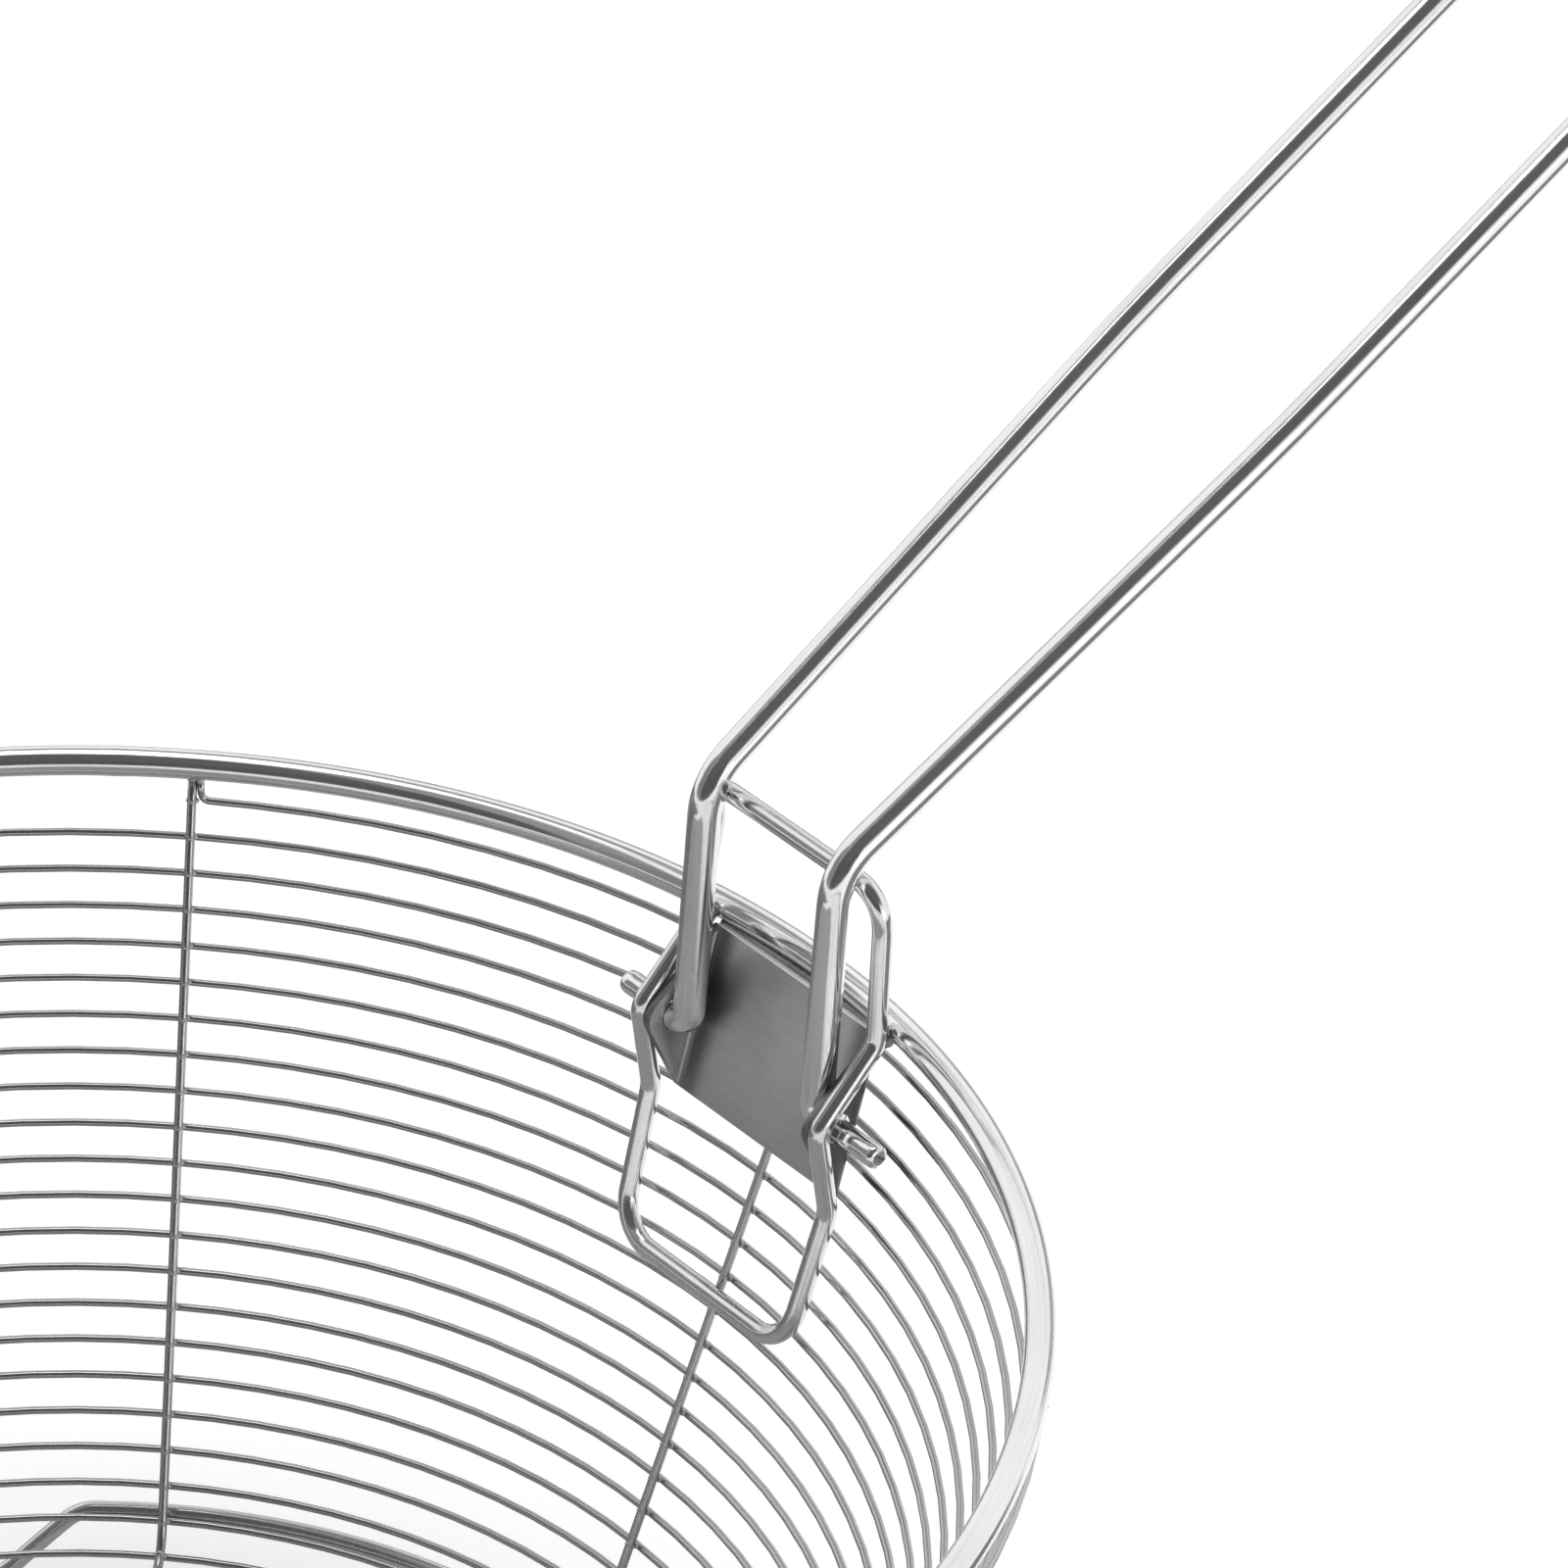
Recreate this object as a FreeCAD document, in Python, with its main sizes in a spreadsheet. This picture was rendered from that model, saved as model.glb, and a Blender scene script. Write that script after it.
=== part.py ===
import FreeCAD, Part

import math
import os

from FreeCAD import Rotation, Vector

# Round wire basket for deep frying, with a handle of one bent wire that folds
# into the basket. Millimetres. +Z is up, the basket's axis is the Z axis, the
# feet stand on Z = 0, and the handle points along +X.

os.makedirs("parts", exist_ok=True)
doc = FreeCAD.newDocument("FryerBasket")

# Driving dimensions: alias, value, and what it measures.
DIMENSIONS = [
    ("rim_radius", 120.0, "centre line of the rim wire"),
    ("rim_wire", 3.8, "rim wire diameter"),
    ("basket_depth", 97.0, "rim centre line down to the centre line of the bottom coil"),
    ("coil_wire", 1.0, "wire of the wound wall and bottom"),
    ("coil_pitch", 4.7, "from one turn to the next, along the wall"),
    ("coil_overhang", 0.7, "from the rim's centre line out to that of the highest turn"),
    ("coil_drop", 5.8, "rim centre line down to the highest turn"),
    ("coil_tail_drop", 2.6, "rim centre line down to the coil's upper end"),
    ("coil_start_deg", 45.0, "the rib where the coil begins, from the bracket's own rib"),
    ("tail_reach_deg", 0.5, "that rib to the coil's upper end, beside it"),
    ("tail_bend_deg", 1.0, "that rib to where the tail has bent into the highest turn"),
    ("tail_bend_rise", 0.5, "the tail's bend above the highest turn"),
    ("coil_sag", 0.8, "most that a straight run of the coil lies inside its true curve"),
    ("bend_sag", 0.2, "the same for the base ring and the handle stay"),
    ("wall_lean_deg", 23.4, "degrees that the wall leans outward"),
    ("corner_radius", 7.0, "where the wall turns into the bottom"),
    ("eye_radius", 7.0, "innermost turn of the bottom"),
    ("rib_wire", 1.2, "upright wires inside the coil"),
    ("rib_count", 8, "upright wires"),
    ("rib_turn_deg", -0.5, "the ribs' turn round the basket, against the bracket's middle"),
    ("rib_drop", 2.1, "rim centre line down to the ribs' upper ends"),
    ("rib_end_radius", 10.0, "where the ribs end on the bottom"),
    ("ring_wire", 2.2, "base ring wire diameter"),
    ("ring_lift", 5.0, "base ring centre line above the bottom coil's centre line"),
    ("foot_count", 4, "dips of the base ring that stand on the table"),
    ("foot_depth", 10.0, "base ring down to the sole of a foot, centre lines"),
    ("foot_width_deg", 8.5, "half of a foot's sole, in degrees round the ring"),
    ("foot_slope_deg", 6.9, "a foot's slanting side, in degrees round the ring"),
    ("foot_bend", 1.9, "length of each bend of a foot, measured to its corner"),
    ("handle_wire", 4.2, "handle wire diameter"),
    ("pivot_inset", 10.3, "rim centre line in to the pivot's axis"),
    ("pivot_drop", 11.7, "rim centre line down to the pivot's axis"),
    ("leg_offset", 12.7, "handle leg from the middle plane"),
    ("leg_bend", 2.3, "bend from leg to pivot stub"),
    ("stub_reach", 25.0, "end of a pivot stub from the middle plane"),
    ("elbow_inset", 7.2, "rim centre line in to the handle's elbow"),
    ("elbow_rise", 22.6, "rim centre line up to the handle's elbow"),
    ("elbow_bend", 9.0, "bend at the elbow"),
    ("rod_length", 180.0, "elbow to the handle's end"),
    ("rod_slope_deg", 29.5, "degrees that the handle rises"),
    ("rod_spread", 16.05, "rods from the middle plane, from the knee to the handle's end"),
    ("knee_reach", 78.0, "elbow to the knee, where the rods stop spreading"),
    ("knee_bend", 400.0, "bend at the knee"),
    ("end_bend", 14.0, "round corners of the handle's end"),
    ("sheet", 1.2, "thickness of the bracket"),
    ("ear_play", 0.1, "between a bent leg and the bracket's ear"),
    ("pivot_play", 0.06, "radial play of a stub in its hole"),
    ("plate_top_inset", 3.35, "rim centre line in to the plate's face at its upper edge"),
    ("plate_top_drop", 1.4, "rim centre line down to the plate's upper edge"),
    ("plate_foot_inset", 10.0, "rim centre line in to the plate's face at its lower edge"),
    ("plate_drop", 22.6, "rim centre line down to the plate's lower edge"),
    ("fold_radius", 2.0, "outside of the folds between plate and ears"),
    ("ear_reach", 15.2, "rim centre line in to the tip of an ear"),
    ("ear_drop", 10.6, "rim centre line down to the tip of an ear"),
    ("ear_round", 3.0, "rounding of an ear's tip"),
    ("stay_wire", 2.6, "wire of the handle stay"),
    ("stay_play", 0.05, "between the stay and the bracket's ears"),
    ("stay_rest", 1.2, "between the rods, if they ran straight to the elbow, and the stay's upper bar"),
    ("stay_seat", 1.75, "from the elbow's corner along the handle to the stay's upper bar"),
    ("stay_top_offset", 16.4, "the stay's upper bends and neck from the middle plane"),
    ("stay_foot_offset", 16.5, "the stay's lower bends from the middle plane"),
    ("stay_top_bend", 4.2, "bend into the stay's upper bar"),
    ("stay_neck_shift", 0.4, "the stay's neck, out from its upper bar"),
    ("stay_neck_drop", 5.5, "the stay's upper bar down to its neck"),
    ("stay_neck_bend", 6.0, "bend of the stay's neck"),
    ("stay_rim_gap", 1.7, "between the rim wire and the corner where the stay passes it"),
    ("stay_rim_drop", 1.0, "rim centre line down to that corner"),
    ("stay_rim_bend", 3.5, "bend of that corner"),
    ("stay_gap", 0.3, "between a pivot stub and the stay that passes it"),
    ("stay_pass_rise", 1.5, "the stay's bend at the pivot above the pivot's axis"),
    ("stay_pass_bend", 3.0, "radius of that bend"),
    ("stay_plate_gap", 1.1, "between the plate's face and the stay, at the plate's lower edge"),
    ("stay_plate_rise", 0.0, "the stay's bend above the plate's lower edge"),
    ("stay_plate_bend", 5.0, "radius of that bend"),
    ("stay_foot_inset", 18.2, "rim centre line in to the stay's lower bar"),
    ("stay_foot_drop", 41.5, "rim centre line down to the stay's lower bar"),
    ("stay_foot_bend", 6.0, "bend into the stay's lower bar"),
]

sheet = doc.addObject("Spreadsheet::Sheet", "Dimensions")
for row, (alias, amount, meaning) in enumerate(DIMENSIONS, start=1):
    sheet.set("A%d" % row, meaning)
    sheet.set("B%d" % row, repr(amount))
    sheet.setAlias("B%d" % row, alias)
doc.recompute()


def size(alias):
    """A driving dimension, read from the sheet."""
    return float(sheet.get(alias))


def rim_level():
    """Height of the rim's centre line above the table."""
    below_ring = size("foot_depth") + size("ring_wire") / 2
    return below_ring + size("basket_depth") - size("ring_lift")


def coil_radius():
    """Radius of the highest turn's centre line."""
    return size("rim_radius") + size("coil_overhang")


def at_bracket(inset, side, rise):
    """A point near the bracket: in from the rim's centre line, sideways, and up from it."""
    return Vector(size("rim_radius") - inset, side, rim_level() + rise)


def polar(radius, degrees, height):
    """A point at a radius and direction round the basket's axis."""
    angle = math.radians(degrees)
    return Vector(radius * math.cos(angle), radius * math.sin(angle), height)


# Bent wires

def same_area(diameter, sides):
    """Corner radius of a section with flat sides and a round wire's area."""
    share = 2 * math.pi / (sides * math.sin(2 * math.pi / sides))
    return diameter / 2 * math.sqrt(share)


def corner_arc(corner, back, ahead, reach):
    """The arc that rounds a corner and touches both runs at a distance from it."""
    half = back.getAngle(ahead) / 2
    radius = reach * math.tan(half)
    towards_centre = (back + ahead).normalize()
    middle = corner + towards_centre * (radius / math.sin(half) - radius)
    return Part.Arc(corner + back * reach, middle, corner + ahead * reach)


def bent_path(corners, radii, closed=False):
    """Straight runs joined by tangent arcs, one radius for each corner; 0 stays sharp."""
    count = len(corners)
    starts = []
    arcs = []
    for i, corner in enumerate(corners):
        at_end = not closed and i in (0, count - 1)
        if at_end or radii[i] == 0:
            arcs.append(None)
            starts.append((corner, corner))
            continue
        back = (corners[i - 1] - corner).normalize()
        ahead = (corners[(i + 1) % count] - corner).normalize()
        reach = radii[i] / math.tan(back.getAngle(ahead) / 2)
        arcs.append(corner_arc(corner, back, ahead, reach))
        starts.append((corner + back * reach, corner + ahead * reach))
    edges = []
    for i in range(count):
        if arcs[i]:
            edges.append(arcs[i].toShape())
        following = (i + 1) % count
        if following == 0 and not closed:
            break
        run = (starts[i][1], starts[following][0])
        if run[0].distanceToPoint(run[1]) > 1e-6:
            edges.append(Part.LineSegment(*run).toShape())
    return edges


def add_sweep(label, edges, wire_alias, sides):
    """A wire with flat sides, swept along a path of tangent edges."""
    path = doc.addObject("Part::Feature", label + "_path")
    path.Shape = Part.Wire(edges)
    first = path.Shape.OrderedEdges[0]
    start = first.valueAt(first.FirstParameter)
    direction = first.tangentAt(first.FirstParameter)
    if first.Orientation == "Reversed":
        start = first.valueAt(first.LastParameter)
        direction = first.tangentAt(first.LastParameter) * -1
    section = doc.addObject("Part::RegularPolygon", label + "_section")
    section.Polygon = sides
    share = same_area(1.0, sides)
    section.setExpression("Circumradius", "Dimensions.%s * %.12f" % (wire_alias, share))
    section.Placement = FreeCAD.Placement(start, Rotation(Vector(0, 0, 1), direction))
    sweep = doc.addObject("Part::Sweep", label)
    sweep.Sections = [section]
    sweep.Spine = (path, ["Edge%d" % (i + 1) for i in range(len(path.Shape.Edges))])
    sweep.Solid = True
    sweep.Frenet = False
    return sweep


def follow(edges):
    """Points along a path: the ends of its straight runs, and its arcs in equal steps."""
    points = []
    for edge in edges:
        steps = 1
        if hasattr(edge.Curve, "Radius"):
            chord = 2 * math.acos(1 - size("bend_sag") / edge.Curve.Radius)
            steps = math.ceil(edge.Length / edge.Curve.Radius / chord - 1e-6)
        points += edge.discretize(Number=steps + 1)[:-1]
    return points


def mitred_wire(points, diameter, sides, closed=False):
    """A solid wire along many short straight runs, mitred where they meet."""
    count = len(points)
    directions = []
    for i in range(count if closed else count - 1):
        directions.append((points[(i + 1) % count] - points[i]).normalize())
    side = directions[0].cross(Vector(0, 0, 1))
    if side.Length < 1e-6:
        side = directions[0].cross(directions[1])
    side.normalize()
    up = side.cross(directions[0])
    reach = same_area(diameter, sides)

    def slide(section, i, along):
        """Moves the section's corners along a run to the plane where run i begins."""
        normal = Vector(along)
        if closed or i < len(directions):
            normal = directions[i - 1] + directions[i % count]
        moved = []
        for corner in section:
            distance = (points[i % count] - corner).dot(normal) / along.dot(normal)
            moved.append(corner + along * distance)
        return moved

    section = []
    for i in range(sides):
        angle = 2 * math.pi * (i + 0.5) / sides
        section.append(points[0] + side * (reach * math.cos(angle)) + up * (reach * math.sin(angle)))
    if closed:
        section = slide(section, 0, directions[0])
    sections = [section]
    for i in range(1, len(directions) + 1):
        sections.append(slide(sections[-1], i, directions[i - 1]))
    faces = []
    if closed:
        last = sections.pop()
        distances = [last[0].distanceToPoint(corner) for corner in section]
        shift = distances.index(min(distances))
        sections.append(section[shift:] + section[:shift])
    else:
        for end in (sections[0], sections[-1]):
            faces.append(Part.Face(Part.makePolygon(end + [end[0]])))
    for near, far in zip(sections, sections[1:]):
        for i in range(sides):
            j = (i + 1) % sides
            faces.append(Part.Face(Part.makePolygon([near[i], near[j], far[j], far[i], near[i]])))
    solid = Part.Solid(Part.Shell(faces))
    if solid.Volume < 0:
        solid.reverse()
    return solid


# Wall and bottom: their shape in section, as a length along it from the highest turn

def wall_foot():
    """Radius and drop of the wall's lower end, where the corner begins."""
    lean = math.radians(size("wall_lean_deg"))
    drop = size("basket_depth") - size("corner_radius") * (1 - math.sin(lean))
    radius = coil_radius() - (drop - size("coil_drop")) * math.tan(lean)
    return radius, drop


def profile(length, inset=0.0):
    """Radius and drop at a length along wall, corner and bottom, moved inward by an inset."""
    lean = math.radians(size("wall_lean_deg"))
    foot_radius, foot_drop = wall_foot()
    wall = (foot_drop - size("coil_drop")) / math.cos(lean)
    turn = math.pi / 2 - lean
    bend = size("corner_radius") * turn
    if length <= wall:
        radius = coil_radius() - length * math.sin(lean)
        drop = size("coil_drop") + length * math.cos(lean)
        facing = lean
    elif length <= wall + bend:
        facing = lean + (length - wall) / size("corner_radius")
        centre_radius = foot_radius - size("corner_radius") * math.cos(lean)
        centre_drop = foot_drop - size("corner_radius") * math.sin(lean)
        radius = centre_radius + size("corner_radius") * math.cos(facing)
        drop = centre_drop + size("corner_radius") * math.sin(facing)
    else:
        facing = math.pi / 2
        radius = foot_radius - size("corner_radius") * math.cos(lean) - (length - wall - bend)
        drop = size("basket_depth")
    return radius - inset * math.cos(facing), drop - inset * math.sin(facing)


def coil_points():
    """The coil from its upper end, clockwise down the wall and in to the eye."""
    bay = 360 / size("rib_count")
    first = size("coil_start_deg") + size("rib_turn_deg")
    tail_end = rim_level() - size("coil_tail_drop")
    tail_bend = rim_level() - size("coil_drop") + size("tail_bend_rise")
    points = [
        polar(coil_radius(), first - size("tail_reach_deg"), tail_end),
        polar(coil_radius(), first - size("tail_reach_deg"), tail_bend),
    ]
    length = 0.0
    turned = 0.0
    while True:
        radius, drop = profile(length)
        if radius < size("eye_radius"):
            break
        chord = 2 * math.acos(1 - size("coil_sag") / radius)
        steps = math.ceil(math.radians(bay) / chord)
        for step in range(steps):
            angle = max(turned + bay * step / steps, size("tail_bend_deg"))
            radius, drop = profile(size("coil_pitch") * angle / 360)
            points.append(polar(radius, first - angle, rim_level() - drop))
        turned += bay
        length = size("coil_pitch") * turned / 360
    return points


# Rim
def rim_path():
    rim = Part.Circle(Vector(0, 0, rim_level()), Vector(0, 0, 1), size("rim_radius"))
    return [
        Part.Arc(rim, 0, math.pi).toShape(),
        Part.Arc(rim, math.pi, 2 * math.pi).toShape(),
    ]


add_sweep("rim_ring", rim_path(), "rim_wire", 8)

# Coil: one wire for wall and bottom
coil = doc.addObject("Part::Feature", "coil_wire")
coil.Shape = mitred_wire(coil_points(), size("coil_wire"), 4)


# Ribs: inside the coil, from under the rim to near the middle of the bottom
def rib_path(degrees):
    inset = (size("coil_wire") + size("rib_wire")) / 2
    lean = math.radians(size("wall_lean_deg"))
    foot_radius, foot_drop = wall_foot()
    level = size("basket_depth") - inset
    top_radius = coil_radius() + (size("coil_drop") - size("rib_drop")) * math.tan(lean)
    top = polar(top_radius - inset / math.cos(lean), degrees, rim_level() - size("rib_drop"))
    corner_radius = foot_radius - (level - foot_drop) * math.tan(lean) - inset / math.cos(lean)
    corner = polar(corner_radius, degrees, rim_level() - level)
    end = polar(size("rib_end_radius"), degrees, rim_level() - level)
    return bent_path([top, corner, end], [0, size("corner_radius") - inset, 0])


for i in range(int(size("rib_count"))):
    label = "rib_%d" % (i + 1)
    turn = size("rib_turn_deg") + i * 360 / size("rib_count")
    add_sweep(label, rib_path(turn), "rib_wire", 6)


# Base ring: outside the foot of the wall, with dips that stand on the table
def ring_radius():
    lean = math.radians(size("wall_lean_deg"))
    foot_radius, foot_drop = wall_foot()
    level = size("basket_depth") - size("ring_lift")
    wall_radius = foot_radius + (foot_drop - level) * math.tan(lean)
    return wall_radius + (size("coil_wire") + size("ring_wire")) / 2 / math.cos(lean)


def ring_path():
    radius = ring_radius()
    low = size("ring_wire") / 2
    high = low + size("foot_depth")
    bay = 360 / size("foot_count")
    outer = size("foot_width_deg") + size("foot_slope_deg")
    edges = []
    for i in range(int(size("foot_count"))):
        middle = (i + 0.75) * bay
        spots = [
            polar(radius, middle - outer, high),
            polar(radius, middle - size("foot_width_deg"), low),
            polar(radius, middle + size("foot_width_deg"), low),
            polar(radius, middle + outer, high),
        ]
        tangents = []
        for degrees in (-outer, -size("foot_width_deg"), size("foot_width_deg"), outer):
            tangents.append(polar(1, middle + degrees + 90, 0))
        reach = size("foot_bend")
        corners = [
            spots[0] + tangents[0] * reach,
            spots[1] - tangents[1] * reach,
            spots[2] + tangents[2] * reach,
            spots[3] - tangents[3] * reach,
        ]
        down = (corners[1] - corners[0]).normalize()
        rise = (corners[3] - corners[2]).normalize()
        before = polar(radius, middle - bay / 2, high)
        halfway = polar(radius, middle - (bay / 2 + outer) / 2, high)
        after = polar(radius, middle + bay / 2, high)
        halfway_on = polar(radius, middle + (bay / 2 + outer) / 2, high)
        edges += [
            Part.Arc(before, halfway, spots[0]).toShape(),
            corner_arc(corners[0], tangents[0] * -1, down, reach).toShape(),
            Part.LineSegment(corners[0] + down * reach, corners[1] - down * reach).toShape(),
            corner_arc(corners[1], down * -1, tangents[1], reach).toShape(),
            Part.Arc(spots[1], polar(radius, middle, low), spots[2]).toShape(),
            corner_arc(corners[2], tangents[2] * -1, rise, reach).toShape(),
            Part.LineSegment(corners[2] + rise * reach, corners[3] - rise * reach).toShape(),
            corner_arc(corners[3], rise * -1, tangents[3], reach).toShape(),
            Part.Arc(spots[3], halfway_on, after).toShape(),
        ]
    return edges


base_ring = doc.addObject("Part::Feature", "base_ring")
base_ring.Shape = mitred_wire(follow(ring_path()), size("ring_wire"), 8, closed=True)


# Bracket: one folded sheet, a face plate under the rim's inside and an ear on each side
def ear_inside():
    """From the middle plane to the inner face of an ear."""
    return size("leg_offset") + size("leg_bend") + size("ear_play")


def bracket_shape():
    """A channel along the plate, cut to the outline that the ears show from the side."""
    sheet = size("sheet")
    inside = Vector(0, ear_inside(), 0)
    outside = Vector(0, ear_inside() + sheet, 0)
    foot = at_bracket(size("plate_foot_inset"), 0, -size("plate_drop"))
    top = at_bracket(size("plate_top_inset"), 0, -size("plate_top_drop"))
    tip = at_bracket(size("ear_reach"), 0, -size("ear_drop"))
    upward = (top - foot).normalize()
    inward = Vector(-upward.z, 0, upward.x)
    tips = foot - upward * sheet + inward * ((tip - foot).dot(inward) + sheet)
    face = foot - upward * sheet
    back = face - inward * sheet
    channel = [
        tips + outside, back + outside, back - outside, tips - outside,
        tips - inside, face - inside, face + inside, tips + inside,
    ]
    fold = size("fold_radius")
    section = bent_path(channel, [0, fold, fold, 0, 0, fold - sheet, fold - sheet, 0], closed=True)
    length = top.distanceToPoint(foot) + 2 * sheet
    body = Part.Face(Part.Wire(section)).extrude(upward * length)
    behind = inward * (-2 * sheet)
    corners = [foot + behind - outside, foot - outside, tip - outside, top - outside]
    corners.append(top + behind - outside)
    outline = bent_path(corners, [0, 0, size("ear_round"), 0, 0], closed=True)
    body = body.common(Part.Face(Part.Wire(outline)).extrude(outside * 2))
    hole_radius = size("handle_wire") / 2 + size("pivot_play")
    start = at_bracket(size("pivot_inset"), 0, -size("pivot_drop")) - outside * 2
    bore = Part.makeCylinder(hole_radius, 4 * outside.y, start, Vector(0, 1, 0))
    return body.cut(bore).removeSplitter()


bracket = doc.addObject("Part::Feature", "bracket")
bracket.Shape = bracket_shape()


# Handle stay: a closed wire frame on the bracket's ears; its upper bar carries the handle
def stay_path():
    side = ear_inside() + size("sheet") + size("stay_play") + size("stay_wire") / 2
    slope = math.radians(size("rod_slope_deg"))
    below = (size("handle_wire") + size("stay_wire")) / 2 + size("stay_rest")
    bar_inset = size("elbow_inset") - size("stay_seat") * math.cos(slope) - below * math.sin(slope)
    bar_rise = size("elbow_rise") + size("stay_seat") * math.sin(slope) - below * math.cos(slope)
    neck_inset = bar_inset - size("stay_neck_shift")
    rim_inset = (size("rim_wire") + size("stay_wire")) / 2 + size("stay_rim_gap")
    pass_inset = size("pivot_inset") + (size("handle_wire") + size("stay_wire")) / 2 + size("stay_gap")
    pass_rise = size("stay_pass_rise") - size("pivot_drop")
    plate_inset = size("plate_foot_inset") + size("stay_wire") / 2 + size("stay_plate_gap")
    plate_rise = size("stay_plate_rise") - size("plate_drop")
    top = size("stay_top_offset")
    corners = [
        (bar_inset, top, bar_rise, size("stay_top_bend")),
        (neck_inset, top, bar_rise - size("stay_neck_drop"), size("stay_neck_bend")),
        (rim_inset, side, -size("stay_rim_drop"), size("stay_rim_bend")),
        (pass_inset, side, pass_rise, size("stay_pass_bend")),
        (plate_inset, side, plate_rise, size("stay_plate_bend")),
        (size("stay_foot_inset"), size("stay_foot_offset"), -size("stay_foot_drop"), size("stay_foot_bend")),
    ]
    points = [at_bracket(inset, offset, rise) for inset, offset, rise, bend in corners]
    points += [at_bracket(inset, -offset, rise) for inset, offset, rise, bend in reversed(corners)]
    radii = [bend for inset, offset, rise, bend in corners]
    return bent_path(points, radii + radii[::-1], closed=True)


stay = doc.addObject("Part::Feature", "handle_stay")
stay.Shape = mitred_wire(follow(stay_path()), size("stay_wire"), 8, closed=True)


# Handle: one wire from stub to stub
def handle_path():
    slope = math.radians(size("rod_slope_deg"))

    def on_rod(reach, offset):
        """A point along a rod, from the elbow's corner."""
        inset = size("elbow_inset") - reach * math.cos(slope)
        return at_bracket(inset, offset, size("elbow_rise") + reach * math.sin(slope))

    half = [
        at_bracket(size("pivot_inset"), size("leg_offset") + size("leg_bend"), -size("pivot_drop")),
        at_bracket(size("pivot_inset"), size("leg_offset"), -size("pivot_drop")),
        on_rod(0, size("leg_offset")),
        on_rod(size("knee_reach"), size("rod_spread")),
        on_rod(size("rod_length"), size("rod_spread")),
    ]
    mirrored = [Vector(spot.x, -spot.y, spot.z) for spot in reversed(half)]
    radii = [0, size("leg_bend"), size("elbow_bend"), size("knee_bend"), size("end_bend")]
    return bent_path(half + mirrored, radii + radii[::-1])


wire = add_sweep("handle_wire", handle_path(), "handle_wire", 8)
stubs = []
for name, turn in (("stub_left", -90), ("stub_right", 90)):
    stub = doc.addObject("Part::Cylinder", name)
    stub.setExpression("Radius", "Dimensions.handle_wire / 2")
    stub.setExpression("Height", "Dimensions.stub_reach - Dimensions.leg_offset - Dimensions.leg_bend")
    start = size("leg_offset") + size("leg_bend")
    spot = at_bracket(size("pivot_inset"), start if turn < 0 else -start, -size("pivot_drop"))
    stub.Placement = FreeCAD.Placement(spot, Rotation(Vector(1, 0, 0), turn))
    stubs.append(stub)
handle = doc.addObject("Part::MultiFuse", "handle")
handle.Shapes = [wire] + stubs

doc.recompute()

# Checks, then one file for each piece
NODES = ["rim_ring", "coil_wire", "base_ring", "bracket", "handle_stay", "handle"]
NODES += ["rib_%d" % (i + 1) for i in range(int(size("rib_count")))]
for item in doc.Objects:
    if "Invalid" in item.State or "Error" in item.State:
        raise RuntimeError("%s failed" % item.Label)
for name in NODES:
    shape = doc.getObject(name).Shape
    if shape.isNull() or not shape.isValid() or len(shape.Solids) != 1:
        raise RuntimeError("%s is not one valid solid" % name)
for name in NODES:
    shape = doc.getObject(name).Shape
    shape.exportStep("parts/%s.step" % name)
    print("%-12s volume %.1f mm3, %d faces" % (name, shape.Volume, len(shape.Faces)))
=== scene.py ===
import math

import bmesh
import bpy
from mathutils import Matrix, Quaternion, Vector


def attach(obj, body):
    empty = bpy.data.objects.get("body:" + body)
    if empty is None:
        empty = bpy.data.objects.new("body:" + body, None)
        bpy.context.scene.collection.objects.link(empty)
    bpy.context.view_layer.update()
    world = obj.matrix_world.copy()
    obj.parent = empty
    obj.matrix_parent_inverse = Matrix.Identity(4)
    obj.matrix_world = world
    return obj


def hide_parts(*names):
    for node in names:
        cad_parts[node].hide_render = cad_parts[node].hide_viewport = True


# Looks of the round wire frying basket. Sizes are in millimetres up to the last step
# of each mesh, where they become metres. The studio is in metres.

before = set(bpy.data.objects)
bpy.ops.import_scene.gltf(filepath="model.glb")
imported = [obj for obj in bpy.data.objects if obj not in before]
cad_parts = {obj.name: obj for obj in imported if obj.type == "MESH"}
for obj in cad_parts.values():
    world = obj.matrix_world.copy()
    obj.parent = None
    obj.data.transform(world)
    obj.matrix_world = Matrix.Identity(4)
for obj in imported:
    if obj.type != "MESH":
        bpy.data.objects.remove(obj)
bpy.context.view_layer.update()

MM = 0.001
X_AXIS = Vector((1, 0, 0))
Y_AXIS = Vector((0, 1, 0))
UP = Vector((0, 0, 1))
RIM_LEVEL = 103.1
RIM_RADIUS = 120.0
RIM_WIRE = 3.8


# Paths and meshes

def polar(radius, degrees, height):
    angle = math.radians(degrees)
    return Vector((radius * math.cos(angle), radius * math.sin(angle), height))


def at_bracket(inset, side, rise):
    """A point by its distance in from the rim wire at the bracket, and across and above."""
    return Vector((RIM_RADIUS - inset, side, RIM_LEVEL + rise))


def bent_path(corners, radii, closed=False, step=7.0):
    """Straight runs with corners rounded by arcs, whose steps are at most so many degrees."""
    count = len(corners)
    points = []
    for i, corner in enumerate(corners):
        if radii[i] == 0 or (not closed and i in (0, count - 1)):
            points.append(corner.copy())
            continue
        back = (corners[i - 1] - corner).normalized()
        ahead = (corners[(i + 1) % count] - corner).normalized()
        half = back.angle(ahead) / 2
        reach = radii[i] / math.tan(half)
        centre = corner + (back + ahead).normalized() * (radii[i] / math.sin(half))
        first = corner + back * reach - centre
        last = corner + ahead * reach - centre
        turn = math.pi - 2 * half
        steps = max(2, math.ceil(math.degrees(turn) / step))
        axis = first.cross(last).normalized()
        for k in range(steps + 1):
            points.append(centre + Quaternion(axis, turn * k / steps) @ first)
    return points


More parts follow.
